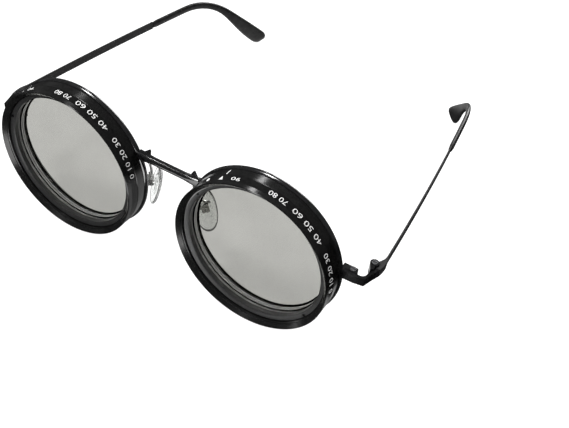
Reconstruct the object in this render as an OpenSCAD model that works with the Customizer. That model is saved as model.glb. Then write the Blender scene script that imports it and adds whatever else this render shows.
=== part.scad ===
// Round metal sunglasses with an adjustable tint. Each eyepiece carries two
// polarising glasses in stacked rings, and turning the front ring darkens the view.
// +X is the wearer's left, +Y runs back to the ears, +Z is up.

/* [Eyepieces] */
// Distance between the centres of the two eyepieces
eye_pitch = 72; // [70:0.5:76]
// Outer diameter of the turning front ring
front_d = 54; // [52:0.5:56]
// Depth of the front ring's outer band, from its lip to the gap behind it
front_band = 4.7; // [4.6:0.1:6]
// Depth of the fixed ring's outer band
base_band = 3.35; // [3.3:0.05:4.5]
// Turn of the front ring from the lightest to the darkest setting, in degrees
tint_turn = 90; // [60:5:100]
// Angle of the index mark round the left eyepiece, anticlockwise from +X seen from the front
index_angle = 117.5; // [90:0.5:130]
// How much further round the right eyepiece is clocked, in degrees
right_clocking = 13.9; // [0:0.1:20]

/* [Rims and bridge] */
// Diameter of the rim wire
rim_wire_d = 2; // [1.8:0.1:2.4]
// Diameter of the bridge bar
bridge_d = 2.6; // [2:0.1:3]
// Height of the bridge bar above the eyepiece centres
bridge_z = 11.4; // [9:0.2:14]

/* [Hinges and temples] */
// Height of the end pieces, hinges and temples above the eyepiece centres
end_z = 3.5; // [2:0.1:6]
// How far the end piece's corner stands out beside the rim
end_reach = 6.8; // [6.8:0.1:9]
// Distance from the rim wire back to the hinge axis
hinge_back = 7.3; // [6.8:0.1:9]
// Height of the temple strip
temple_h = 3; // [2.6:0.1:3.4]
// Thickness of the temple strip
temple_t = 0.5; // [0.4:0.05:1]
// Length of the metal strip from the hinge block to the temple tip
strip_len = 66; // [55:1:75]
// How much each temple turns inward on its way back, in degrees
toe_in = 5.8; // [3:0.05:7]
// Outward bow of each temple at its middle
bow = 0.9; // [0.6:0.1:2]

/* [Temple tips] */
// Length of the temple tip, measured along its curve
tip_len = 72.6; // [62:0.1:78]
// Radius of the bend behind the ear
ear_bend_r = 34.4; // [24:0.1:38]
// Angle of the bend behind the ear, in degrees
ear_bend = 44; // [38:0.5:48]
// Inward tilt of the bend, in degrees
ear_tilt = 23.5; // [10:0.5:30]
// Width of the paddle at the end of the tip
paddle_w = 7.4; // [6:0.2:8.4]

/* [Nose pads] */
// Distance between the two pad screws
pad_gap = 21.8; // [20:0.2:24]
// Length of a nose pad
pad_l = 18; // [14:0.5:19]
// Width of a nose pad
pad_w = 8; // [7:0.25:9.5]
// Outward splay of the pads from top to bottom, in degrees
pad_splay = 14; // [8:1:20]
// Angle that the pads turn back from facing each other, in degrees
pad_yaw = 48; // [38:1:55]

/* [Hidden] */

ring_fn = 180;
small_fn = 40;
long_arc_fn = 1440;

black_metal = [0.06, 0.06, 0.065];
dark_metal = [0.16, 0.16, 0.17];
steel = [0.55, 0.55, 0.57];
smoke_glass = [0.62, 0.62, 0.58, 0.55];
clear_soft = [0.86, 0.87, 0.86, 0.6];
black_plastic = [0.1, 0.1, 0.1];

// Radii of the turning ring, worked inward from its outer band
front_r = front_d / 2;
lip_chamfer = 0.25;
lip_bevel = 1.15;
mark_r = front_r - 0.38;
mark_groove_r = front_r - 0.45;
mark_groove_y = 1.85;
mark_groove_w = 0.28;
thread_r = front_r - 1.4;
seat_r = thread_r - 0.6;
sleeve_r = seat_r;
pocket_r = seat_r - 0.7;
view_r = pocket_r - 0.8;
fit_gap = 0.1;
seat_gap = 0.05;

// Stations of the turning ring along the depth
thread_end = 2.2;
front_glass_y = front_band - 0.3;
front_glass_t = 1.2;
flange_y = front_glass_y + front_glass_t;
sleeve_end = flange_y + 0.6;
keeper_y = sleeve_end - 0.85;
keeper_wire_r = 0.2;
keeper_groove_w = 0.5;
keeper_groove_depth = 0.3;
keeper_recess = 0.2;
keeper_mid_r = sleeve_r + fit_gap / 2;
keeper_opening = 24;

// Stations and radii of the fixed ring
base_r = front_r - 0.1;
recess_r = sleeve_r + fit_gap;
base_y = front_band + 0.15;
base_end = base_y + base_band;
web_y = sleeve_end + 0.2;
web_t = 0.5;
rear_glass_y = web_y + web_t;
rear_glass_t = 1;
rear_pocket_r = pocket_r - 0.4;
rear_thread_r = pocket_r + 0.1;
rear_seat_y = rear_glass_y + rear_glass_t;
tail_r = front_r - 1;
tail_end = base_end + 0.8;
tongue_y = base_end + 0.45;
tongue_half = 0.25;
tongue_h = 0.3;
band_chamfer = 0.2;

// Stop lug of the fixed ring and its notch in the turning ring
lug_inner = sleeve_r - 0.6;
lug_outer = sleeve_r - 0.1;
lug_rise = 0.5;
lug_span = 6;
notch_depth = 0.4;
notch_inner = lug_inner - 0.1;
notch_slack = 0.5;

// Rim wire and its closing block
rim_r = front_r - 0.5;
rim_wire_r = rim_wire_d / 2;
rim_clip_r = tail_r + 0.05;
rim_y = base_end + rim_wire_r + 0.02;
rim_out = rim_r + rim_wire_r;
rim_x = eye_pitch / 2 + rim_out;
block_h = 3.4;
block_len = 3.7;
block_depth = 1.95;
block_root = 1.1;
block_round = 0.6;
rim_slit = 0.2;
slit_box = [10, 8];
rim_screw_x = rim_x + 2.2;
rim_screw_r = 0.6;
rim_screw_head_r = 0.95;
rim_screw_head_h = 0.7;
screw_slot_w = 0.28;
screw_slot_depth = 0.3;
head_proud = 0.2;
slip = 0.02;

// End piece, a flat bar bent round its corner and back to the hinge
bar_t = 1.35;
bar_h = temple_h;
bar_front = rim_y - 0.72;
bar_back = bar_front + bar_t;
bar_start = rim_x + 0.05;
corner_x = rim_x + end_reach;
corner_y = rim_y;
inner_bend_r = 1.6;
corner_in = corner_x - 0.35;
hinge_x = corner_x - 0.4;
hinge_y = rim_y + hinge_back;
butt_y = hinge_y - 1.2;
butt_gap = 0.05;
rim_screw_y = bar_back + block_depth / 2;
end_out_x = hinge_x + 2.4;
end_in_x = hinge_x + 1;

// Hinge knuckles and their screw
knuckle_r = 1.4;
knuckle_clear = 0.12;
knuckle_mid_h = 1.5;
knuckle_end_h = 1.5;
knuckle_gap = 0.05;
knuckle_top = end_z + knuckle_mid_h / 2 + knuckle_gap + knuckle_end_h;
knuckle_low = end_z - knuckle_mid_h / 2 - knuckle_gap - knuckle_end_h;
hinge_pin_r = 0.6;
hinge_run = 0.05;
hinge_head_r = 0.95;
hinge_head_h = 0.7;
hinge_head_proud = 0.15;

// Temple path, from the back of the hinge block to the end of the tip
strip_x = hinge_x + 2.05;
strip_y = hinge_y + 4.5;
temple_pitch = 1.13;
tip_lead = 19.6;
bend_start = strip_len + tip_lead;
bend_apex = bend_start + ear_bend_r * tan(ear_bend / 2);
bend_len = ear_bend_r * ear_bend * PI / 180;
bow_r = (pow(bend_apex / 2, 2) + pow(bow, 2)) / (2 * bow);
tang_len = 17;
tang_h = temple_h - 1.2;
tang_t = temple_t - 0.15;
tang_gap = 0.05;
tip_h = temple_h - 0.1;
tip_t = 1.75;
tip_end_t = 2.55;
tip_back_w = paddle_w * 0.32;
tip_front_w = paddle_w * 0.68;
tip_flare = 37.8;
tip_round = 3.6;
tip_sides = 16;
tip_corner = 0.85;
tip_roll = -38;
tip_mouth = 0.8;
tip_step = 5;

// Position along the tip's curve, as distance back and distance down the bend
function tip_back(s) =
    s < tip_lead ? strip_len + s :
    s < tip_straight ?
        bend_start + ear_bend_r * sin(tip_angle(s)) :
        bend_start + ear_bend_r * sin(ear_bend) + (s - tip_straight) * cos(ear_bend);
function tip_drop(s) =
    s < tip_lead ? 0 :
    s < tip_straight ?
        ear_bend_r * (1 - cos(tip_angle(s))) :
        ear_bend_r * (1 - cos(ear_bend)) + (s - tip_straight) * sin(ear_bend);
function tip_angle(s) =
    min(ear_bend, max(0, (s - tip_lead) / ear_bend_r * 180 / PI));
tip_straight = tip_lead + bend_len;
function bow_at(u) = let (k = min(u / bend_apex, 1)) bow * 4 * k * (1 - k);
function tip_point(s) = [
    bow_at(tip_back(s)) - sin(ear_tilt) * tip_drop(s),
    tip_back(s),
    -cos(ear_tilt) * tip_drop(s)
];
function tip_tangent(s) = let (a = tip_angle(s)) [
    -sin(ear_tilt) * sin(a), cos(a), -cos(ear_tilt) * sin(a)
];
function unit(v) = v / norm(v);
function power(x, p) = sign(x) * pow(abs(x), p);

// Widths of the tip toward the back and the front of the ear, and its thickness
function ease(x) = let (k = max(0, min(1, x))) k * k * (3 - 2 * k);
function flare_at(s) = ease((s - (tip_len - tip_flare)) / (tip_flare - tip_round));
function end_at(s) = max(0, (s - (tip_len - tip_round)) / tip_round);
function start_at(s) = min(1, tip_mouth + (1 - tip_mouth) * s / (tip_step * 0.4));
function tip_back_at(s) = start_at(s) * sqrt(1 - 0.98 * pow(end_at(s), 2))
    * (tip_h / 2 + (tip_back_w - tip_h / 2) * flare_at(s));
function tip_front_at(s) = start_at(s) * (1 - 0.25 * pow(end_at(s), 2))
    * (tip_h / 2 + (tip_front_w - tip_h / 2) * pow(flare_at(s), 1.3));
function tip_thick_at(s) = start_at(s) * (1 - 0.6 * pow(end_at(s), 3))
    * (tip_t + (tip_end_t - tip_t) * flare_at(s));

function tip_ring(s) =
    let (
        t = tip_tangent(s),
        n0 = unit([1, 0, 0] - ([1, 0, 0] * t) * t),
        w0 = cross(t, n0),
        roll = tip_roll * flare_at(s),
        n = cos(roll) * n0 + sin(roll) * w0,
        w = cos(roll) * w0 - sin(roll) * n0
    )
    [for (i = [0 : tip_sides - 1])
        let (
            a = 360 * i / tip_sides,
            side = power(cos(a), tip_corner) * tip_thick_at(s) / 2,
            reach = power(sin(a), tip_corner)
                * (sin(a) > 0 ? tip_front_at(s) : tip_back_at(s))
        )
        tip_point(s) + side * n + reach * w];

tip_stations = concat(
    [0, tip_step * 0.12, tip_step * 0.4],
    [for (s = [tip_step : tip_step : tip_lead - tip_step * 0.4]) s],
    [for (i = [0 : 8]) tip_lead + bend_len * i / 8],
    [for (i = [1 : 7])
        tip_straight + (tip_len - tip_round - tip_straight) * i / 7],
    [for (k = [0.3, 0.55, 0.75, 0.9, 1]) tip_len - tip_round + tip_round * k]
);
tip_rings = [for (s = tip_stations) tip_ring(s)];

// The tip's reach behind the lip, which sets the overall depth, and its lowest point
function seated(p) = let (
        y1 = p[1] * cos(temple_pitch) + p[2] * sin(temple_pitch),
        z1 = p[2] * cos(temple_pitch) - p[1] * sin(temple_pitch)
    )
    [strip_x + p[0] * cos(toe_in) - y1 * sin(toe_in),
     strip_y + p[0] * sin(toe_in) + y1 * cos(toe_in),
     end_z + z1];
depth = max([for (r = tip_rings) for (p = r) seated(p)[1]]);
tip_low = min([for (r = tip_rings) for (p = r) seated(p)[2]]);
lift = max(rim_out, -tip_low);

// Nose pads, seated on a frame whose X points away from the nose and Y along the screw
pad_screw_y = 13.9;
pad_screw_z = -2.2;
pad_back = 2.2;
pad_low = 2.7;
pad_front_t = 1.7;
pad_rear_t = 0.9;
pad_sides = 16;
pad_steps = 12;
fork_t = 0.6;
fork_gap = 1.3;
fork_h = 3;
fork_reach = 0.85;
fork_back = 1.5;
tab_t = 1.1;
tab_r = 0.95;
tab_clear = 0.1;
tab_bore_r = 0.5;
stem_low = 1.6;
stem_high = 1.3;
pad_screw_r = 0.45;
pad_screw_head_r = 0.85;
pad_screw_head_h = 0.6;
core_l = 6;
core_w = 3.4;
core_t = 0.8;
core_gap = 0.03;

// Pad arm, a bent wire from the rim to the fork
arm_r = 0.5;
arm_sides = 10;
arm_steps = 18;
arm_foot = [-0.1, 0.9, 0];
arm_leave = [-4, 0.85, 4.9];
arm_arrive = [-2.6, -2.15, 0.2];
arm_end = [1.2, 1, 2.05];
rim_foot_z = 8.5;
rim_foot_x = eye_pitch / 2 - sqrt(pow(rim_r, 2) - pow(rim_foot_z, 2));

// Bridge feet
foot_x = eye_pitch / 2 - sqrt(pow(rim_out, 2) - pow(bridge_z, 2));
foot_len = 5;
foot_peak = [-2.4, 1.5, 1.95];
foot_peak_r = 0.35;
foot_top_r = 1;
foot_low_r = 0.8;
foot_d = 2.2;

// Helpers
module place() translate([0, -depth / 2, lift]) children();

module both(side) place() {
    if (side > 0) children();
    else mirror([1, 0, 0]) children();
}

module eyepiece(side) place()
    translate([side * eye_pitch / 2, 0, 0])
    rotate([0, side > 0 ? 0 : -right_clocking, 0])
    children();

// A rectangle of a turned section, between two radii and two depths
module band(r0, r1, y0, y1) translate([r0, y0]) square([r1 - r0, y1 - y0]);

module turned() rotate([-90, 0, 0]) rotate_extrude($fn = ring_fn) children();

// Part of a turned ring, anticlockwise from an angle seen from the front
module turned_arc(from, span)
    rotate([-90, 0, 0])
    rotate([0, 0, -from - span])
    rotate_extrude(angle = span, $fn = ring_fn)
    children();

// A closed skin over rings of points of equal count
module skin(rings) {
    n = len(rings[0]);
    m = len(rings);
    polyhedron(
        points = [for (r = rings) for (p = r) p],
        faces = concat(
            [[for (j = [0 : n - 1]) j]],
            [for (i = [0 : m - 2]) for (j = [0 : n - 1])
                [i * n + j, (i + 1) * n + j, i * n + (j + 1) % n]],
            [for (i = [0 : m - 2]) for (j = [0 : n - 1])
                [(i + 1) * n + j, (i + 1) * n + (j + 1) % n, i * n + (j + 1) % n]],
            [[for (j = [n - 1 : -1 : 0]) (m - 1) * n + j]]
        )
    );
}

module upright(r, z0, z1) translate([0, 0, z0]) cylinder(r = r, h = z1 - z0, $fn = small_fn);

// A slotted screw head on top of its shank, both about Z
module slotted_screw(shank_r, low, head_low, head_r, head_top) difference() {
    union() {
        upright(shank_r, low, head_low + slip);
        upright(head_r, head_low, head_top);
    }
    translate([-head_r - 1, -screw_slot_w / 2, head_top - screw_slot_depth])
        cube([2 * head_r + 2, screw_slot_w, screw_slot_depth + 1]);
}

// Eyepiece, turning part
module front_ring_section() difference() {
    union() {
        polygon([
            [view_r, 0],
            [front_r - lip_chamfer, 0],
            [front_r, lip_chamfer],
            [front_r, mark_groove_y - 0.05],
            [mark_groove_r, mark_groove_y],
            [mark_groove_r, mark_groove_y + mark_groove_w],
            [mark_r, mark_groove_y + mark_groove_w],
            [front_r, front_band - 0.1],
            [front_r - 0.1, front_band],
            [view_r, front_band]
        ]);
        band(view_r, sleeve_r, front_band - 1, sleeve_end);
    }
    polygon([
        [0, -1],
        [front_r - lip_chamfer + 1, -1],
        [front_r - lip_chamfer, 0],
        [thread_r, lip_bevel],
        [thread_r, thread_end],
        [0, thread_end]
    ]);
    band(0, seat_r, thread_end - 1, front_glass_y);
    band(0, pocket_r, front_glass_y - 1, flange_y);
    band(sleeve_r - keeper_groove_depth, sleeve_r + 1,
        keeper_y - keeper_groove_w / 2, keeper_y + keeper_groove_w / 2);
}

module front_ring(side) color(black_metal) eyepiece(side) difference() {
    turned() front_ring_section();
    turned_arc(index_angle - lug_span / 2 - notch_slack,
        tint_turn + lug_span + 2 * notch_slack)
        band(notch_inner, sleeve_r + 1, sleeve_end - notch_depth, sleeve_end + 1);
}

module front_retaining_ring(side) color(dark_metal) eyepiece(side) difference() {
    turned() polygon([
        [seat_r - seat_gap, thread_end],
        [view_r + 0.5, thread_end + 0.3],
        [view_r + 0.1, thread_end + 0.65],
        [view_r + 0.1, front_glass_y],
        [seat_r - seat_gap, front_glass_y]
    ]);
    for (turn = [0, 180])
        rotate([0, turn + 35, 0])
        translate([pocket_r - 0.1, thread_end - 1, -0.6])
        cube([3, 1.6, 1.2]);
}

module front_glass(side) color(smoke_glass) eyepiece(side)
    turned() band(0, pocket_r - fit_gap, front_glass_y, flange_y);

// Eyepiece, fixed part
module base_ring_section() difference() {
    union() {
        polygon([
            [view_r, base_y],
            [base_r - band_chamfer, base_y],
            [base_r, base_y + band_chamfer],
            [base_r, base_end - band_chamfer],
            [base_r - band_chamfer, base_end],
            [view_r, base_end]
        ]);
        band(view_r, tail_r, base_end - 1, tail_end);
        polygon([
            [tail_r - 0.2, tongue_y - tongue_half - 0.1],
            [tail_r, tongue_y - tongue_half],
            [tail_r + tongue_h, tongue_y],
            [tail_r, tongue_y + tongue_half],
            [tail_r - 0.2, tongue_y + tongue_half]
        ]);
    }
    band(0, recess_r, base_y - 1, web_y);
    band(0, rear_pocket_r, rear_glass_y, tail_end + 1);
    band(0, rear_thread_r, rear_seat_y, tail_end + 1);
    band(0, recess_r + keeper_recess, keeper_y - keeper_groove_w / 2, keeper_y + keeper_groove_w / 2);
}

module base_ring(side) color(black_metal) eyepiece(side) {
    turned() base_ring_section();
    turned_arc(index_angle - lug_span / 2, lug_span)
        band(lug_inner, lug_outer, web_y - lug_rise, web_y + web_t / 2);
}

module keeper_ring(side) color(steel) eyepiece(side)
    turned_arc(-90 + keeper_opening / 2, 360 - keeper_opening)
    translate([keeper_mid_r, keeper_y])
    circle(r = keeper_wire_r, $fn = 20);

module rear_glass(side) color(smoke_glass) eyepiece(side)
    turned() band(0, rear_pocket_r - fit_gap, rear_glass_y, rear_seat_y);

module rear_retaining_ring(side) color(dark_metal) eyepiece(side)
    turned() polygon([
        [view_r - 0.3, rear_seat_y],
        [rear_thread_r - seat_gap, rear_seat_y],
        [rear_thread_r - seat_gap, rear_seat_y + 0.85],
        [rear_thread_r - 0.25, rear_seat_y + 0.85]
    ]);

// Rim
module rim_section() difference() {
    translate([rim_r, rim_y]) circle(r = rim_wire_r, $fn = small_fn);
    band(0, rim_clip_r, rim_y - 3, rim_y + 3);
    polygon([
        [rim_clip_r - 0.1, tongue_y - tongue_half - 0.1],
        [rim_clip_r + tongue_h, tongue_y],
        [rim_clip_r - 0.1, tongue_y + tongue_half + 0.1]
    ]);
}

module closing_block() translate([0, 0, end_z - block_h / 2]) linear_extrude(block_h) {
    translate([rim_x - block_root, bar_back])
        square([block_root + block_len - block_round, block_depth]);
    translate([rim_x - block_root, bar_back])
        square([block_root + block_len, block_depth - block_round]);
    translate([rim_x + block_len - block_round, bar_back + block_depth - block_round])
        circle(r = block_round, $fn = small_fn);
    translate([rim_x - block_root, rim_y - rim_wire_r / 2])
        square([block_root - 0.05, bar_back - rim_y + rim_wire_r / 2 + 0.1]);
}

module rim(side) color(dark_metal) both(side) difference() {
    union() {
        translate([eye_pitch / 2, 0, 0]) turned() rim_section();
        difference() {
            closing_block();
            translate([eye_pitch / 2, 0, 0]) turned() band(0, rim_clip_r, 0, rim_y + 5);
        }
    }
    translate([rim_x - slit_box[0] * 0.4, rim_y - slit_box[1] * 0.4, end_z - rim_slit / 2])
        cube([slit_box[0], slit_box[1], rim_slit]);
    translate([rim_screw_x, rim_screw_y, 0]) {
        upright(rim_screw_r + slip, end_z - block_h, end_z + block_h);
        upright(rim_screw_head_r + fit_gap,
            end_z + block_h / 2 - rim_screw_head_h + head_proud, end_z + block_h);
    }
}

module rim_screw(side) color(steel) both(side)
    translate([rim_screw_x, rim_screw_y, 0])
    slotted_screw(rim_screw_r, end_z - block_h / 2,
        end_z + block_h / 2 - rim_screw_head_h + head_proud, rim_screw_head_r,
        end_z + block_h / 2 + head_proud);

// End piece with the two outer knuckles
module end_piece_outline() difference() {
    polygon([
        [bar_start, bar_front],
        [rim_x + block_len, bar_front + 0.15],
        [corner_x, corner_y],
        [(corner_x + end_out_x) / 2 + 0.1, (corner_y + butt_y) / 2 + 0.7],
        [end_out_x, butt_y],
        [hinge_x - 3, butt_y],
        [bar_start, bar_back]
    ]);
    translate([bar_start - 1, bar_back])
        square([corner_in - inner_bend_r - bar_start + 1, hinge_y]);
    translate([corner_in - inner_bend_r, bar_back + inner_bend_r])
        circle(r = inner_bend_r, $fn = small_fn);
    polygon([
        [corner_in - inner_bend_r - 0.15, bar_back + inner_bend_r],
        [corner_in, bar_back + inner_bend_r],
        [end_in_x, butt_y],
        [end_in_x, hinge_y],
        [corner_in - inner_bend_r - 0.15, hinge_y]
    ]);
}

module end_knuckle() {
    circle(r = knuckle_r, $fn = small_fn);
    polygon([
        [hinge_x - knuckle_r * 0.9, hinge_y - knuckle_r * 0.5] - [hinge_x, hinge_y],
        [corner_in, hinge_y - 3.4] - [hinge_x, hinge_y],
        [end_in_x, hinge_y - 2.6] - [hinge_x, hinge_y],
        [0.75, butt_y - hinge_y],
        [0.75, 0],
        [0, 0]
    ]);
}

module end_piece(side) color(dark_metal) both(side) difference() {
    union() {
        translate([0, 0, end_z - bar_h / 2]) linear_extrude(bar_h) end_piece_outline();
        for (low = [knuckle_low, knuckle_top - knuckle_end_h])
            translate([hinge_x, hinge_y, low])
            linear_extrude(knuckle_end_h)
            end_knuckle();
    }
    translate([hinge_x, hinge_y, 0]) {
        upright(knuckle_r + knuckle_clear, end_z - knuckle_mid_h / 2 - knuckle_gap,
            end_z + knuckle_mid_h / 2 + knuckle_gap);
        upright(hinge_pin_r + slip, knuckle_low - 1, knuckle_top + 1);
        upright(hinge_head_r + slip, knuckle_top + hinge_head_proud - hinge_head_h,
            knuckle_top + 1);
    }
}

module hinge_screw(side) color(steel) both(side)
    translate([hinge_x, hinge_y, 0])
    slotted_screw(hinge_pin_r, knuckle_low, knuckle_top + hinge_head_proud - hinge_head_h,
        hinge_head_r, knuckle_top + hinge_head_proud);

// Bridge, a round bar with a flared foot on each rim
module bridge_foot() {
    hull() {
        translate([foot_x - foot_len, rim_y, bridge_z])
            rotate([0, 90, 0]) cylinder(d = bridge_d, h = 0.5, $fn = 32);
        translate([foot_x + 0.4, rim_y, bridge_z + bridge_d / 2 - foot_top_r])
            rotate([90, 0, 0])
            cylinder(r = foot_top_r, h = foot_d, center = true, $fn = 24);
        translate([foot_x + 0.2, rim_y, bridge_z - bridge_d / 2 + foot_low_r])
            rotate([90, 0, 0])
            cylinder(r = foot_low_r, h = foot_d, center = true, $fn = 24);
    }
    hull() {
        translate([foot_x, rim_y, bridge_z] + foot_peak)
            rotate([90, 0, 0])
            cylinder(r = foot_peak_r, h = foot_d / 4, center = true, $fn = 24);
        translate([foot_x - foot_len * 0.6, rim_y + foot_d / 4, bridge_z + bridge_d / 4])
            rotate([90, 0, 0])
            cylinder(r = foot_peak_r, h = foot_d / 4, center = true, $fn = 24);
        translate([foot_x - foot_len * 0.1, rim_y + foot_d / 4, bridge_z + bridge_d / 4])
            rotate([90, 0, 0])
            cylinder(r = foot_peak_r, h = foot_d / 4, center = true, $fn = 24);
    }
}

module bridge() color(dark_metal) place() difference() {
    union() {
        translate([-foot_x + foot_len / 2, rim_y, bridge_z])
            rotate([0, 90, 0])
            cylinder(d = bridge_d, h = 2 * foot_x - foot_len, $fn = small_fn);
        bridge_foot();
        mirror([1, 0, 0]) bridge_foot();
    }
    for (side = [-1, 1]) translate([side * eye_pitch / 2, 0, 0]) turned() {
        translate([rim_r, rim_y]) circle(r = rim_wire_r + 0.01, $fn = small_fn);
        band(rim_r - 3, base_r + 0.1, 0, base_end + 0.05);
        band(rim_r - 3, rim_r, 0, rim_y + 3);
    }
}

// Temple, a bowed strip with the hinge's middle knuckle
module seat_temple() translate([strip_x, strip_y, end_z])
    rotate([0, 0, toe_in])
    rotate([-temple_pitch, 0, 0])
    children();

// A stretch of the bowed strip between two distances behind the hinge block
module bowed_strip(from, to, t, h) {
    a0 = asin((from - bend_apex / 2) / bow_r);
    a1 = asin((to - bend_apex / 2) / bow_r);
    translate([bow - bow_r, bend_apex / 2, 0])
        rotate([0, 0, a0])
        rotate_extrude(angle = a1 - a0, $fn = long_arc_fn)
        translate([bow_r - t / 2, -h / 2])
        square([t, h]);
}

module temple_block() difference() {
    polygon([
        [hinge_x + 0.5, butt_y + butt_gap],
        [end_out_x, butt_y + butt_gap],
        [hinge_x + 2.75, hinge_y + 0.8],
        [hinge_x + 2.8, hinge_y + 3],
        [strip_x + temple_t / 2 + 0.02, strip_y + 0.8],
        [strip_x - temple_t / 2, strip_y + 0.8],
        [strip_x - temple_t / 2 - 0.15, strip_y - 0.6],
        [hinge_x + 0.75, hinge_y + 1.9],
        [hinge_x, hinge_y + 1.2]
    ]);
    translate([hinge_x, hinge_y]) circle(r = knuckle_r + knuckle_clear, $fn = small_fn);
}

module temple_knuckle() {
    circle(r = knuckle_r, $fn = small_fn);
    polygon([
        [0.8, butt_y + butt_gap - hinge_y],
        [2.2, butt_y + butt_gap - hinge_y],
        [2.2, 2],
        [0.75, 1.9],
        [-0.2, 1.38],
        [0, 0]
    ]);
}

module temple(side) color(dark_metal) both(side) difference() {
    union() {
        translate([0, 0, end_z - temple_h / 2]) linear_extrude(temple_h) temple_block();
        translate([hinge_x, hinge_y, end_z - knuckle_mid_h / 2])
            linear_extrude(knuckle_mid_h)
            temple_knuckle();
        seat_temple() {
            bowed_strip(-0.4, strip_len, temple_t, temple_h);
            bowed_strip(strip_len - 1, strip_len + tang_len, tang_t, tang_h);
        }
    }
    translate([hinge_x, hinge_y, 0])
        upright(hinge_pin_r + hinge_run, end_z - temple_h, end_z + temple_h);
}

module temple_tip(side) color(black_plastic) both(side) seat_temple() difference() {
    skin(tip_rings);
    bowed_strip(strip_len - 1, strip_len + tang_len + tang_gap,
        tang_t + 2 * tang_gap, tang_h + 2 * tang_gap);
}

// Nose pads
module seat_pad() translate([pad_gap / 2, pad_screw_y, pad_screw_z])
    rotate([0, -pad_splay, 0])
    rotate([0, 0, -pad_yaw])
    children();

module across(r, y0, y1) translate([0, y0, 0])
    rotate([-90, 0, 0])
    cylinder(r = r, h = y1 - y0, $fn = small_fn);

function pad_ring(k) =
    let (
        w = pad_w / 2 * pow(1 - k * k, 0.42),
        swell = pow(1 - k * k, 0.35)
    )
    [for (i = [0 : pad_sides - 1])
        let (
            a = 360 * i / pad_sides,
            t = cos(a) > 0 ? pad_rear_t : pad_front_t
        )
        [power(cos(a), 0.85) * t * swell, sin(a) * w, k * pad_l / 2]];

pad_rings = [for (i = [0 : pad_steps])
    pad_ring(0.985 * sin(-90 + 180 * i / pad_steps))];

module core_blade(gap) {
    translate([-core_t / 2 - gap, -core_w / 2 - gap, -core_l / 2 - gap])
        cube([core_t + 2 * gap, core_w + 2 * gap, core_l + 2 * gap]);
    translate([0, -tab_t / 2 - gap, -stem_low - gap])
        cube([pad_rear_t + 0.4, tab_t + 2 * gap, stem_low + stem_high + 2 * gap]);
}

// The stem's outline from the blade to the screw, seen along the screw
module core_stem() polygon([
    [-pad_back + pad_rear_t + 0.1, -pad_low - stem_low],
    [-pad_back + pad_rear_t + 0.4, -pad_low - stem_low],
    [tab_r * 0.35, -tab_r * 0.93],
    [0, 0],
    [-tab_r * 0.93, tab_r * 0.35],
    [-pad_back + pad_rear_t + 0.1, -pad_low + stem_high]
]);

module nose_pad(side) color(clear_soft) both(side) seat_pad()
    translate([-pad_back, 0, -pad_low])
    difference() {
        skin(pad_rings);
        core_blade(core_gap);
    }

module pad_core(side) color(clear_soft) both(side) seat_pad() difference() {
    union() {
        translate([-pad_back, 0, -pad_low]) core_blade(0);
        translate([0, tab_t / 2, 0]) rotate([90, 0, 0]) linear_extrude(tab_t) core_stem();
        across(tab_r, -tab_t / 2, tab_t / 2);
    }
    across(tab_bore_r, -2, 2);
}

module pad_screw(side) color(steel) both(side) seat_pad() {
    across(pad_screw_r, -fork_gap / 2 - fork_t, fork_gap / 2 + fork_t);
    across(pad_screw_head_r, -fork_gap / 2 - fork_t - pad_screw_head_h,
        -fork_gap / 2 - fork_t);
}

// The arm's centre line, a cubic curve from the rim to the top of the fork
arm_from = [rim_foot_x, rim_y, rim_foot_z] + arm_foot;
arm_out = [rim_foot_x, rim_y, rim_foot_z] + arm_leave;
arm_down = [pad_gap / 2, pad_screw_y, pad_screw_z] + arm_arrive;
arm_to = [pad_gap / 2, pad_screw_y, pad_screw_z] + arm_end;
function arm_point(t) = pow(1 - t, 3) * arm_from + 3 * t * pow(1 - t, 2) * arm_out
    + 3 * t * t * (1 - t) * arm_down + pow(t, 3) * arm_to;
function arm_tangent(t) = unit(pow(1 - t, 2) * (arm_out - arm_from)
    + 2 * t * (1 - t) * (arm_down - arm_out) + t * t * (arm_to - arm_down));
function arm_ring(t) =
    let (
        d = arm_tangent(t),
        n = unit(cross(d, [0.35, 0.2, 0.92])),
        w = cross(d, n)
    )
    [for (i = [0 : arm_sides - 1])
        let (a = 360 * i / arm_sides)
        arm_point(t) + arm_r * (cos(a) * n + sin(a) * w)];

module fork() difference() {
    translate([-fork_reach, -fork_gap / 2 - fork_t, -fork_h / 2])
        cube([fork_reach + fork_back, fork_gap + 2 * fork_t, fork_h]);
    fork_slot();
    across(pad_screw_r + slip, -3, 3);
}

// Room for the pad's tab, closed at the back and on top
module fork_slot() translate([-fork_reach - 1, -fork_gap / 2, -fork_h])
    cube([fork_reach + 1 + tab_r + tab_clear, fork_gap, fork_h + tab_r + tab_clear]);

module pad_arm(side) color(steel) both(side) difference() {
    union() {
        seat_pad() fork();
        difference() {
            skin([for (i = [0 : arm_steps]) arm_ring(i / arm_steps)]);
            seat_pad() fork_slot();
        }
    }
    translate([eye_pitch / 2, 0, 0]) turned()
        translate([rim_r, rim_y]) circle(r = rim_wire_r + 0.01, $fn = small_fn);
}

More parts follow.
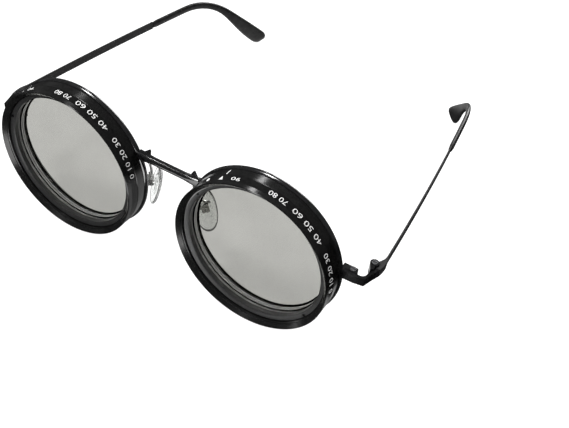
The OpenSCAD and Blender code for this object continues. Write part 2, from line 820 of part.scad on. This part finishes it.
rim(1);  // rim_left
rim(-1);  // rim_right
rim_screw(1);  // rim_screw_left
rim_screw(-1);  // rim_screw_right
end_piece(1);  // end_piece_left
end_piece(-1);  // end_piece_right
hinge_screw(1);  // hinge_screw_left
hinge_screw(-1);  // hinge_screw_right
bridge();
base_ring(1);  // base_ring_left
base_ring(-1);  // base_ring_right
rear_glass(1);  // rear_glass_left
rear_glass(-1);  // rear_glass_right
rear_retaining_ring(1);  // rear_retaining_ring_left
rear_retaining_ring(-1);  // rear_retaining_ring_right
keeper_ring(1);  // keeper_ring_left
keeper_ring(-1);  // keeper_ring_right
front_ring(1);  // front_ring_left
front_ring(-1);  // front_ring_right
front_glass(1);  // front_glass_left
front_glass(-1);  // front_glass_right
front_retaining_ring(1);  // front_retaining_ring_left
front_retaining_ring(-1);  // front_retaining_ring_right
temple(1);  // temple_left
temple(-1);  // temple_right
temple_tip(1);  // temple_tip_left
temple_tip(-1);  // temple_tip_right
pad_arm(1);  // pad_arm_left
pad_arm(-1);  // pad_arm_right
pad_screw(1);  // pad_screw_left
pad_screw(-1);  // pad_screw_right
pad_core(1);  // pad_core_left
pad_core(-1);  // pad_core_right
nose_pad(1);  // nose_pad_left
nose_pad(-1);  // nose_pad_right
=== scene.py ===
from math import cos, sin, pi, radians
import bpy
import bmesh
from mathutils import Matrix, Vector


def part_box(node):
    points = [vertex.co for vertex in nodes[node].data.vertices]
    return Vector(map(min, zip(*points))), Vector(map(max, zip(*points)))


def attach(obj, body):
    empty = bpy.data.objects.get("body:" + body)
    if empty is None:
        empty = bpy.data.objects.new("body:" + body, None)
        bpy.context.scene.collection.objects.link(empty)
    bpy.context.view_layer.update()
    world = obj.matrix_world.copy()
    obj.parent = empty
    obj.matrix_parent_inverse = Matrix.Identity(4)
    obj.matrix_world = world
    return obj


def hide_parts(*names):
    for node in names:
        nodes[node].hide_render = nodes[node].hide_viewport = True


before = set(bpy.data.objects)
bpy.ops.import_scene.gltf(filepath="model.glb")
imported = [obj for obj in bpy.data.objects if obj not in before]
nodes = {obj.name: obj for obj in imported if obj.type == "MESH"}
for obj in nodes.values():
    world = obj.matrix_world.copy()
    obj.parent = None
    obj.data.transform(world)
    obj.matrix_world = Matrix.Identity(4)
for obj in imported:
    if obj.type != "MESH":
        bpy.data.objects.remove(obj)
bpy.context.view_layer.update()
MM = 0.001

# Sign of X and name of each side
SIDES = {1: "left", -1: "right"}

# Axes of the eyepieces and the front of their lips, in millimetres
EYE_X = 36.0
EYE_Z = 27.5
FRONT_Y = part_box("front_ring_left")[0][1] / MM

# How far each eyepiece is set round its axis, in degrees
CLOCKING = {1: 0.0, -1: 13.9}

# Front thread: wall radius, depths behind the lip, and the ridge on the wall
THREAD_R = 25.6
THREAD_FROM = 1.15
THREAD_TO = 2.2
THREAD_PITCH = 0.75
THREAD_END = 0.15
THREAD_SUNK = 0.02
THREAD_HEIGHT = 0.27
THREAD_ROOT = 0.3
THREAD_TIP = 0.06
THREAD_RUN_OUT = 0.25
RUN_OUT_SHARE = 12.0
STEPS_PER_TURN = 180

# Walls inside the eyepiece, from their largest radius and their nearest depth
WALL_R = 24.7
WALL_FROM = 4.5

# Marks: radius and depth at both ends of the turning ring's face, and how far paint goes in and stands out
MARK_CONE = ((26.62, 2.13), (27.0, 4.6))
MARK_MIDDLE = 3.35
MARK_SUNK = -0.02
MARK_PROUD = 0.035
# Change of the built-in font's stroke, as a share of its height
MARK_THIN = -0.006
# Words on the turning ring: start and end in degrees, height in millimetres, text
SCALE = (
    (-0.7, 30.7, 1.6, "0 10 20 30"),
    (37.6, 65.2, 1.65, "40 50 60"),
    (70.2, 83.3, 1.6, "70 80"),
    (104.2, 110.8, 1.3, "90"),
)
# Arrow and dot: ring angle and half width in degrees, half height in millimetres
ARROW = (118.6, 1.55, 0.7)
ARROW_CORNERS = ((-1, -1), (1, -1), (0, 1.2))
DOT = (130.5, 1.35, 0.62)
DOT_SIDES = 24
# Index line on the fixed ring: radius, middle depth, half length, ring angle and half width in degrees
BASE_R = 26.9
INDEX_DEPTH = 6.4
INDEX_HALF = 1.1
INDEX_ANGLE = 117.5
INDEX_HALF_ANGLE = 0.32

# Nose pads: places of the pad screw between the eyepieces, and the pad's two turns in degrees
PAD_GAP = 21.8
PAD_Y = 13.9
PAD_Z = -2.2
PAD_SPLAY = 14.0
PAD_YAW = 48.0
# The pad's middle from its screw, and its outline
PAD_BACK = 2.2
PAD_LOW = 2.7
PAD_LENGTH = 17.73
PAD_WIDTH = 7.76
PAD_SQUARENESS = 0.9
PAD_SIDES = 72
# The pad's section from the face to the back: share of the outline, and depth
PAD_CROWN = ((0.10, -1.62), (0.35, -1.50), (0.60, -1.25), (0.80, -0.92), (0.93, -0.55))
PAD_RIM = ((0.975, -0.36), (0.995, -0.20), (1.0, 0.0), (0.995, 0.2), (0.975, 0.34))
PAD_REAR = ((0.93, 0.42), (0.80, 0.36), (0.66, 0.34), (0.60, 0.5), (0.56, 0.74), (0.50, 0.84), (0.30, 0.86),
            (0.10, 0.86))
# Bands of the section in dark painted shade, standing in for the dark edges of the clear rim, that show as
# two lines, and the narrower island that holds the core
PAD_PAINTED_SHADE_BANDS = (4, 5, 8, 9)
ISLAND_SHARE = 0.7
ISLAND_WIDTH = 0.86

# Camera: lens and sensor in millimetres, nearest and furthest reach in metres
LENS = 52.972
SENSOR = 36.0
REACH = (0.01, 20.0)
# Its place in millimetres from the middle of the front at the floor, and its view axes
CAMERA = (121.242, -153.726, 208.936)
VIEW_RIGHT = (0.854145, 0.511524, 0.093699)
VIEW_DOWN = (0.407801, -0.547035, -0.731061)
VIEW_AHEAD = (-0.322699, 0.662643, -0.675847)

# Stage, in metres
FLOOR_HALF = 20.0
FLOOR_Z = -0.00004
MIRRORED_Z = -0.00002
CARD_Z = -0.00001
CARD_PLACE = (0.01, -0.19)
CARD_HALF = 0.09
CARD_NARROW = 0.6
DOME_R = 4.0
# Strength of what glows
WORLD_LIGHT = 0.15
PAPER_LIGHT = 1.0
CARD_LIGHT = 5.5
# The mirrored floor: reach along Y, brightness at shares of it, with its dark middle stretch a painted
# shadow of the rings, and where it darkens along X
MIRRORED_Y = (-0.15, 0.0)
MIRRORED_LEVELS_WITH_PAINTED_SHADOW = ((0.2, 0.8), (0.35, 0.06), (0.56, 0.05), (0.75, 1.1))
MIRRORED_SLANT = 0.35
MIRRORED_SIDE = (0.0585, 0.0665)
MIRRORED_ENDS = (0.070, 0.073)
MIRRORED_DARK = 0.04
# Square lamps: name, place, aim, side and power in watts
LAMPS = (
    ("back_softbox", (-0.05, 1.0, 0.40), (0.0, 0.0, 0.03), 0.6, 12.0),
    ("front_softbox", (-0.26, -0.65, 0.60), (0.0, -0.06, 0.04), 0.12, 0.8),
    ("key_softbox", (-0.30, -0.35, 0.90), (0.0, -0.05, 0.03), 0.22, 10.0),
    ("end_softbox", (-0.39, 0.60, 0.71), (-0.07, -0.06, 0.03), 0.1, 0.8),
)

WHITE = (1.0, 1.0, 1.0, 1.0)
# Part of the noise that a grain spreads its two tones over
GRAIN_RANGE = (0.35, 0.65)
# Points of a mesh closer than this are one, in metres
WELD = 2e-6


def add_object(name, data):
    o = bpy.data.objects.new(name, data)
    bpy.context.scene.collection.objects.link(o)
    return o


# Camera at the photograph's angle
def make_camera():
    data = bpy.data.cameras.new("camera")
    data.lens = LENS
    data.sensor_width = SENSOR
    data.sensor_fit = "HORIZONTAL"
    data.clip_start, data.clip_end = REACH
    cam = add_object("camera", data)
    right, down, ahead = Vector(VIEW_RIGHT), Vector(VIEW_DOWN), Vector(VIEW_AHEAD)
    turn = Matrix((right, -down, -ahead)).transposed().to_4x4()
    x, y, z = CAMERA
    cam.matrix_world = Matrix.Translation((x * MM, (y + FRONT_Y) * MM, z * MM)) @ turn
    bpy.context.scene.camera = cam


# White surround, pale floor, cards that only reflections show, and soft lamps
def make_stage():
    scene = bpy.context.scene
    scene.view_settings.view_transform = "Standard"
    world = bpy.data.worlds.new("studio")
    world.use_nodes = True
    back = world.node_tree.nodes["Background"]
    back.inputs["Color"].default_value = WHITE
    back.inputs["Strength"].default_value = WORLD_LIGHT
    scene.world = world
    paper = glowing("floor_paper", 0.25, 0.01, PAPER_LIGHT)
    floor = plane("floor", FLOOR_Z, paper, FLOOR_HALF)
    floor.visible_glossy = False
    b = bmesh.new()
    bmesh.ops.create_uvsphere(b, u_segments=48, v_segments=24, radius=DOME_R)
    dome = stage_piece("backdrop", b, paper)
    dome.visible_glossy = False
    dome.visible_diffuse = False
    dome.visible_shadow = False
    front = plane("front_card", CARD_Z, glowing("white_card", 0.8, 0.02, CARD_LIGHT), CARD_HALF)
    front.location.x, front.location.y = CARD_PLACE
    front.scale.x = CARD_NARROW
    for o in (plane("floor_mirrored", MIRRORED_Z, mirrored_floor(), FLOOR_HALF), front):
        o.visible_camera = False
        o.visible_diffuse = False
        o.visible_transmission = False
        o.visible_shadow = False
    for settings in LAMPS:
        lamp(*settings)


# Matt white that also gives light
def glowing(name, tone, spread, light):
    m = material(name, (tone,) * 3, rough=0.9, specular=0.1)
    grain(m, (tone - spread,) * 3, (tone + spread,) * 3, scale=60.0)
    shader(m).inputs["Emission Color"].default_value = WHITE
    shader(m).inputs["Emission Strength"].default_value = light
    return m


# What the glossy parts mirror below them: white paper, with a painted shadow where the rings stand
def mirrored_floor():
    m = material("floor_card", (0.0, 0.0, 0.0), rough=1.0, specular=0.0)
    t = m.node_tree
    axes = object_axes(m)
    place = t.nodes.new("ShaderNodeMapRange")
    place.inputs["From Min"].default_value, place.inputs["From Max"].default_value = MIRRORED_Y
    t.links.new(axes["Y"], place.inputs["Value"])
    # The dark middle stretch of these levels is a painted shadow of the rings on the mirrored floor
    levels = ramp(m, place.outputs["Result"], [(spot, (level,) * 3) for spot, level in MIRRORED_LEVELS_WITH_PAINTED_SHADOW])
    slant = calc(m, "ADD", axes["X"], calc(m, "MULTIPLY", axes["Y"], MIRRORED_SLANT))
    side = step_down(m, slant, *MIRRORED_SIDE)
    ends = step_down(m, calc(m, "ABSOLUTE", axes["X"], 0.0), *MIRRORED_ENDS)
    dim = t.nodes.new("ShaderNodeVectorMath")
    dim.operation = "SCALE"
    t.links.new(levels.outputs["Color"], dim.inputs["Vector"])
    t.links.new(calc(m, "MULTIPLY", side, ends), dim.inputs["Scale"])
    t.links.new(dim.outputs["Vector"], shader(m).inputs["Emission Color"])
    shader(m).inputs["Emission Strength"].default_value = 1.0
    return m


# From one down to nearly nothing between two values
def step_down(m, value, start, end):
    k = m.node_tree.nodes.new("ShaderNodeMapRange")
    k.inputs["From Min"].default_value = start
    k.inputs["From Max"].default_value = end
    k.inputs["To Min"].default_value = 1.0
    k.inputs["To Max"].default_value = MIRRORED_DARK
    m.node_tree.links.new(value, k.inputs["Value"])
    return k.outputs["Result"]


def stage_piece(name, b, mat):
    mesh = bpy.data.meshes.new(name)
    b.to_mesh(mesh)
    b.free()
    mesh.materials.append(mat)
    o = add_object(name, mesh)
    return o


def plane(name, height, mat, half):
    b = bmesh.new()
    bmesh.ops.create_grid(b, x_segments=8, y_segments=8, size=half)
    o = stage_piece(name, b, mat)
    o.location.z = height
    return o


def lamp(name, where, to, side, power):
    data = bpy.data.lights.new(name, "AREA")
    data.size = side
    data.energy = power
    o = add_object(name, data)
    o.location = where
    o.rotation_euler = (Vector(to) - Vector(where)).to_track_quat("-Z", "Y").to_euler()


def material(name, color, rough=0.4, metallic=0.0, specular=0.5):
    m = bpy.data.materials.new(name)
    m.use_nodes = True
    p = shader(m)
    p.inputs["Base Color"].default_value = (*color, 1.0)
    p.inputs["Roughness"].default_value = rough
    p.inputs["Metallic"].default_value = metallic
    p.inputs["Specular IOR Level"].default_value = specular
    return m


# Clear material: passes light and bends it by its index
def clear(name, color, index, rough=0.0):
    m = material(name, color, rough=rough)
    shader(m).inputs["Transmission Weight"].default_value = 1.0
    shader(m).inputs["IOR"].default_value = index
    return m


def shader(m):
    return m.node_tree.nodes["Principled BSDF"]


def object_axes(m):
    t = m.node_tree
    co = t.nodes.new("ShaderNodeTexCoord")
    axes = t.nodes.new("ShaderNodeSeparateXYZ")
    t.links.new(co.outputs["Object"], axes.inputs["Vector"])
    return axes.outputs


def noise(m, scale, detail=4.0, stretch=(1.0, 1.0, 1.0)):
    t = m.node_tree
    co = t.nodes.new("ShaderNodeTexCoord")
    mapping = t.nodes.new("ShaderNodeMapping")
    mapping.inputs["Scale"].default_value = stretch
    n = t.nodes.new("ShaderNodeTexNoise")
    n.inputs["Scale"].default_value = scale
    n.inputs["Detail"].default_value = detail
    t.links.new(co.outputs["Object"], mapping.inputs["Vector"])
    t.links.new(mapping.outputs["Vector"], n.inputs["Vector"])
    return n.outputs["Fac"]


# Colours at two or more places of a value, from low to high
def ramp(m, source, stops):
    r = m.node_tree.nodes.new("ShaderNodeValToRGB")
    elements = r.color_ramp.elements
    for element, (place, color) in zip(list(elements), stops):
        element.position = place
        element.color = (*color, 1.0)
    for place, color in stops[2:]:
        elements.new(place).color = (*color, 1.0)
    m.node_tree.links.new(source, r.inputs["Fac"])
    return r


# Colour varied between two tones by fine noise
def grain(m, a, b, scale, stretch=(1.0, 1.0, 1.0)):
    low, high = GRAIN_RANGE
    r = ramp(m, noise(m, scale, stretch=stretch), ((low, a), (high, b)))
    m.node_tree.links.new(r.outputs["Color"], shader(m).inputs["Base Color"])
    return r


# Roughness between two values, from coarse noise
def rough_range(m, a, b, scale):
    t = m.node_tree
    k = t.nodes.new("ShaderNodeMapRange")
    k.inputs["To Min"].default_value = a
    k.inputs["To Max"].default_value = b
    t.links.new(noise(m, scale), k.inputs["Value"])
    t.links.new(k.outputs["Result"], shader(m).inputs["Roughness"])


def bump(m, scale, height, strength):
    t = m.node_tree
    k = t.nodes.new("ShaderNodeBump")
    k.inputs["Strength"].default_value = strength
    k.inputs["Distance"].default_value = height
    t.links.new(noise(m, scale, detail=2.0), k.inputs["Height"])
    t.links.new(k.outputs["Normal"], shader(m).inputs["Normal"])


def calc(m, operation, a, b):
    n = m.node_tree.nodes.new("ShaderNodeMath")
    n.operation = operation
    for socket, value in zip(n.inputs, (a, b)):
        if isinstance(value, float):
            socket.default_value = value
        else:
            m.node_tree.links.new(value, socket)
    return n.outputs["Value"]


# A second colour on the walls inside the eyepiece, behind the front glass
def inner_wall(m, outer, color):
    t = m.node_tree
    axes = object_axes(m)
    x = calc(m, "SUBTRACT", calc(m, "ABSOLUTE", axes["X"], 0.0), EYE_X * MM)
    z = calc(m, "SUBTRACT", axes["Z"], EYE_Z * MM)
    r = calc(m, "SQRT", calc(m, "ADD", calc(m, "MULTIPLY", x, x), calc(m, "MULTIPLY", z, z)), 0.0)
    inside = calc(m, "LESS_THAN", r, WALL_R * MM)
    behind = calc(m, "GREATER_THAN", axes["Y"], (FRONT_Y + WALL_FROM) * MM)
    mix = t.nodes.new("ShaderNodeMix")
    mix.data_type = "RGBA"
    t.links.new(calc(m, "MULTIPLY", inside, behind), mix.inputs["Factor"])
    t.links.new(outer.outputs["Color"], mix.inputs["A"])
    mix.inputs["B"].default_value = (*color, 1.0)
    t.links.new(mix.outputs["Result"], shader(m).inputs["Base Color"])


# Gives a CAD node its material and smooth faces, with edges sharper than the angle kept
def dress(name, mat, angle):
    o = nodes[name]
    o.data.materials.clear()
    o.data.materials.append(mat)
    weld = o.modifiers.new("weld", "WELD")
    weld.merge_threshold = WELD
    o.data.shade_smooth()
    keep_edges(o, angle)


def keep_edges(o, angle):
    split = o.modifiers.new("split", "EDGE_SPLIT")
    split.split_angle = radians(angle)


# A new piece from points in millimetres, with its faces turned outward
def solid(name, verts, faces, body, mats, picks=None, angle=30.0):
    mesh = bpy.data.meshes.new(name)
    mesh.from_pydata([tuple(c * MM for c in v) for v in verts], [], faces)
    for m in mats:
        mesh.materials.append(m)
    if picks:
        for face, pick in zip(mesh.polygons, picks):
            face.material_index = pick
    b = bmesh.new()
    b.from_mesh(mesh)
    bmesh.ops.recalc_face_normals(b, faces=b.faces)
    b.to_mesh(mesh)
    b.free()
    mesh.shade_smooth()
    o = add_object(name, mesh)
    keep_edges(o, angle)
    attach(o, body)
    return o


# A point of an eyepiece, by ring angle in degrees, radius and depth behind the lip
def on_ring(side, angle, r, y):
    a = radians(angle + CLOCKING[side])
    return (side * EYE_X + r * cos(a), FRONT_Y + y, EYE_Z + r * sin(a))


# A closed section carried round the eyepiece, along a list of (angle, radius, depth)
def swept(side, path, section):
    n = len(section)
    verts = [on_ring(side, a, r + dr, y + dy) for a, r, y in path for dr, dy in section]
    last = (len(path) - 1) * n
    faces = []
    for first in range(0, last, n):
        for k in range(n):
            j = (k + 1) % n
            faces.append((first + k, first + j, first + n + j, first + n + k))
    faces.append(tuple(range(n)))
    faces.append(tuple(last + k for k in range(n - 1, -1, -1)))
    return verts, faces


# Thread ridge on the wall behind the lip, one helix that runs out at both ends
def thread(side, word, m):
    reach = THREAD_TO - THREAD_FROM - 2 * THREAD_END
    turns = reach / THREAD_PITCH
    steps = int(STEPS_PER_TURN * turns)
    path = []
    for i in range(steps + 1):
        t = i / steps
        fade = min(1.0, RUN_OUT_SHARE * t, RUN_OUT_SHARE * (1 - t))
        r = THREAD_R + THREAD_SUNK + THREAD_RUN_OUT * (1 - fade)
        path.append((360.0 * turns * t, r, THREAD_FROM + THREAD_END + reach * t))
    section = [(0.0, -THREAD_ROOT), (-THREAD_HEIGHT, -THREAD_TIP),
               (-THREAD_HEIGHT, THREAD_TIP), (0.0, THREAD_ROOT)]
    verts, faces = swept(side, path, section)
    solid("front_thread_" + word, verts, faces, "tint_ring_" + word, [m])


# Raised letters of a word in the built-in font, scaled to one in width, height and thickness
def word_mesh(text):
    curve = bpy.data.curves.new("word", "FONT")
    curve.body = text
    curve.resolution_u = 4
    curve.offset = MARK_THIN
    curve.extrude = 0.5
    o = bpy.data.objects.new("word", curve)
    mesh = o.to_mesh()
    verts = [tuple(v.co) for v in mesh.vertices]
    faces = [tuple(p.vertices) for p in mesh.polygons]
    o.to_mesh_clear()
    bpy.data.objects.remove(o)
    bpy.data.curves.remove(curve)
    left = min(v[0] for v in verts)
    wide = max(v[0] for v in verts) - left
    low = min(v[1] for v in verts)
    tall = max(v[1] for v in verts) - low
    return [((v[0] - left) / wide, (v[1] - low) / tall, v[2] + 0.5) for v in verts], faces


# Radius of the turning ring's face at a depth
def cone_radius(y):
    (r0, y0), (r1, y1) = MARK_CONE
    return r0 + (y - y0) * (r1 - r0) / (y1 - y0)


# A flat outline in ring angle and depth, as a plate on the turning ring's face
def plate(side, outline, first):
    n = len(outline)
    verts = [on_ring(side, a, cone_radius(y) + lift, y)
             for lift in (MARK_SUNK, MARK_PROUD) for a, y in outline]
    faces = [tuple(first + i for i in range(n)), tuple(first + n + i for i in range(n - 1, -1, -1))]
    for i in range(n):
        j = (i + 1) % n
        faces.append((first + i, first + j, first + n + j, first + n + i))
    return verts, faces


# Numbers, setting arrow and dot on the turning ring
def scale_marks(side, word, m):
    verts = []
    faces = []
    for start, end, tall, text in SCALE:
        points, polys = word_mesh(text)
        first = len(verts)
        for u, v, w in points:
            y = MARK_MIDDLE + tall * (0.5 - v)
            r = cone_radius(y) + MARK_SUNK + (MARK_PROUD - MARK_SUNK) * w
            verts.append(on_ring(side, start + (end - start) * u, r, y))
        faces += [tuple(first + i for i in p) for p in polys]
    round_dot = [(cos(a), sin(a)) for a in (2 * pi * i / DOT_SIDES for i in range(DOT_SIDES))]
    for (angle, wide, tall), corners in ((ARROW, ARROW_CORNERS), (DOT, round_dot)):
        outline = [(angle + wide * u, MARK_MIDDLE + tall * v) for u, v in corners]
        more_verts, more_faces = plate(side, outline, len(verts))
        verts += more_verts
        faces += more_faces
    solid("scale_marks_" + word, verts, faces, "tint_ring_" + word, [m])


# Index line on the fixed ring
def index_mark(side, word, m):
    path = [(INDEX_ANGLE + INDEX_HALF_ANGLE * k, BASE_R, INDEX_DEPTH) for k in (-1, 0, 1)]
    section = [(MARK_SUNK, -INDEX_HALF), (MARK_PROUD, -INDEX_HALF),
               (MARK_PROUD, INDEX_HALF), (MARK_SUNK, INDEX_HALF)]
    verts, faces = swept(side, path, section)
    solid("index_mark_" + word, verts, faces, "frame", [m])


# A point of a nose pad's own frame in the shared frame
def on_pad(side, x, y, z):
    yaw, splay = radians(-PAD_YAW), radians(-PAD_SPLAY)
    x, y = x * cos(yaw) - y * sin(yaw), x * sin(yaw) + y * cos(yaw)
    x, z = x * cos(splay) + z * sin(splay), z * cos(splay) - x * sin(splay)
    return (side * (PAD_GAP / 2 + x), FRONT_Y + PAD_Y + y, EYE_Z + PAD_Z + z)


# One closed line round the pad, at a share of its outline and a depth
def pad_ring(side, share, x):
    island = share < ISLAND_SHARE and x > 0
    width = PAD_WIDTH * (ISLAND_WIDTH if island else 1.0)
    points = []
    for i in range(PAD_SIDES):
        a = 2 * pi * i / PAD_SIDES
        y = width / 2 * abs(cos(a)) ** PAD_SQUARENESS * (1 if cos(a) >= 0 else -1)
        z = PAD_LENGTH / 2 * sin(a)
        points.append(on_pad(side, x - PAD_BACK, y * share, z * share - PAD_LOW))
    return points


# Soft pad: a crowned face, a rolled rim whose edge bands carry dark painted shade, and a raised island
# behind that holds the core
def soft_pad(side, word, body_mat, shade_mat):
    section = PAD_CROWN + PAD_RIM + PAD_REAR
    verts = [p for share, x in section for p in pad_ring(side, share, x)]
    last = (len(section) - 1) * PAD_SIDES
    faces = []
    picks = []
    for i in range(len(section) - 1):
        first = i * PAD_SIDES
        for j in range(PAD_SIDES):
            k = (j + 1) % PAD_SIDES
            faces.append((first + j, first + k, first + PAD_SIDES + k, first + PAD_SIDES + j))
            picks.append(1 if i in PAD_PAINTED_SHADE_BANDS else 0)
    faces.append(tuple(range(PAD_SIDES)))
    faces.append(tuple(last + j for j in range(PAD_SIDES - 1, -1, -1)))
    picks += [0, 0]
    o = solid("soft_nose_pad_" + word, verts, faces, "pad_" + word, [body_mat, shade_mat], picks,
              angle=70.0)
    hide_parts("nose_pad_" + word)


make_camera()
make_stage()

anodised = material("black_anodised", (0.005, 0.005, 0.005), rough=0.2, specular=0.3)
tone = grain(anodised, (0.003, 0.003, 0.003), (0.008, 0.008, 0.008), scale=1500.0)
inner_wall(anodised, tone, (0.2, 0.2, 0.2))
rough_range(anodised, 0.14, 0.24, scale=300.0)
bump(anodised, scale=9000.0, height=0.00001, strength=0.15)

plated = material("black_plating", (0.005, 0.005, 0.006), rough=0.15, specular=0.3)
grain(plated, (0.004, 0.004, 0.004), (0.009, 0.009, 0.010), scale=700.0)
rough_range(plated, 0.10, 0.22, scale=500.0)

strip_plated = material("satin_black_plating", (0.026, 0.026, 0.026), rough=0.6, specular=0.08)
grain(strip_plated, (0.022, 0.022, 0.022), (0.031, 0.031, 0.031), scale=900.0, stretch=(1.0, 0.12, 1.0))
rough_range(strip_plated, 0.55, 0.7, scale=600.0)

bright_plated = material("bright_black_plating", (0.006, 0.006, 0.007), rough=0.12, specular=0.8)
grain(bright_plated, (0.005, 0.005, 0.005), (0.012, 0.012, 0.013), scale=700.0)
rough_range(bright_plated, 0.09, 0.18, scale=500.0)

retainer = material("satin_anodised", (0.016, 0.016, 0.016), rough=0.36, specular=0.3)
grain(retainer, (0.011, 0.011, 0.011), (0.020, 0.020, 0.020), scale=1800.0)
rough_range(retainer, 0.3, 0.42, scale=400.0)

steel = material("dark_steel", (0.20, 0.20, 0.21), rough=0.28, metallic=1.0)
grain(steel, (0.08, 0.08, 0.085), (0.15, 0.15, 0.155), scale=2500.0)
rough_range(steel, 0.2, 0.38, scale=1500.0)

nickel = material("nickel", (0.7, 0.7, 0.7), rough=0.25, metallic=0.9)
grain(nickel, (0.64, 0.64, 0.63), (0.76, 0.76, 0.75), scale=1500.0)
rough_range(nickel, 0.18, 0.32, scale=900.0)

acetate = material("black_acetate", (0.012, 0.012, 0.012), rough=0.3, specular=0.12)
grain(acetate, (0.008, 0.008, 0.008), (0.018, 0.018, 0.018), scale=400.0)
rough_range(acetate, 0.26, 0.4, scale=200.0)

hard_clear = clear("clear_hard_plastic", (0.93, 0.94, 0.93), index=1.06, rough=0.04)
grain(hard_clear, (0.90, 0.91, 0.90), (0.95, 0.96, 0.95), scale=900.0)

silicone = clear("clear_silicone", (0.82, 0.83, 0.82), index=1.4, rough=0.06)
grain(silicone, (0.79, 0.80, 0.79), (0.85, 0.86, 0.85), scale=350.0)
rough_range(silicone, 0.04, 0.1, scale=700.0)

# Dark clear silicone on the pad's rim bands: painted shade standing in for the dark edges of a clear pad
silicone_painted_shade = clear("silicone_rim_painted_shade", (0.10, 0.10, 0.10), index=1.4, rough=0.1)
grain(silicone_painted_shade, (0.08, 0.08, 0.08), (0.13, 0.13, 0.13), scale=350.0)

# The glasses tint what is seen through them and leave its place alone
front_film = clear("front_glass", (0.92, 0.92, 0.90), index=1.0)
grain(front_film, (0.91, 0.91, 0.89), (0.93, 0.93, 0.91), scale=60.0)

rear_film = clear("rear_glass", (0.373, 0.373, 0.36), index=1.0)
grain(rear_film, (0.365, 0.365, 0.352), (0.38, 0.38, 0.367), scale=60.0)

mark_paint = material("mark_paint", (0.88, 0.88, 0.87), rough=0.5, specular=0.4)
grain(mark_paint, (0.82, 0.82, 0.81), (0.92, 0.92, 0.91), scale=1200.0)
rough_range(mark_paint, 0.42, 0.6, scale=900.0)

# Nodes on both sides: material, and the angle above which an edge stays sharp
FINISHES = (
    (("front_ring_", "base_ring_"), anodised, 28.0),
    (("front_retaining_ring_", "rear_retaining_ring_"), retainer, 28.0),
    (("rim_",), bright_plated, 35.0),
    (("end_piece_",), plated, 35.0),
    (("temple_",), strip_plated, 35.0),
    (("rim_screw_", "hinge_screw_", "keeper_ring_"), steel, 35.0),
    (("pad_arm_", "pad_screw_"), nickel, 35.0),
    (("pad_core_",), hard_clear, 35.0),
    (("front_glass_",), front_film, 35.0),
    (("rear_glass_",), rear_film, 35.0),
    (("temple_tip_",), acetate, 60.0),
)

for side, word in SIDES.items():
    for stems, mat, angle in FINISHES:
        for stem in stems:
            dress(stem + word, mat, angle)
    thread(side, word, anodised)
    scale_marks(side, word, mark_paint)
    index_mark(side, word, mark_paint)
    soft_pad(side, word, silicone, silicone_painted_shade)
dress("bridge", plated, 35.0)
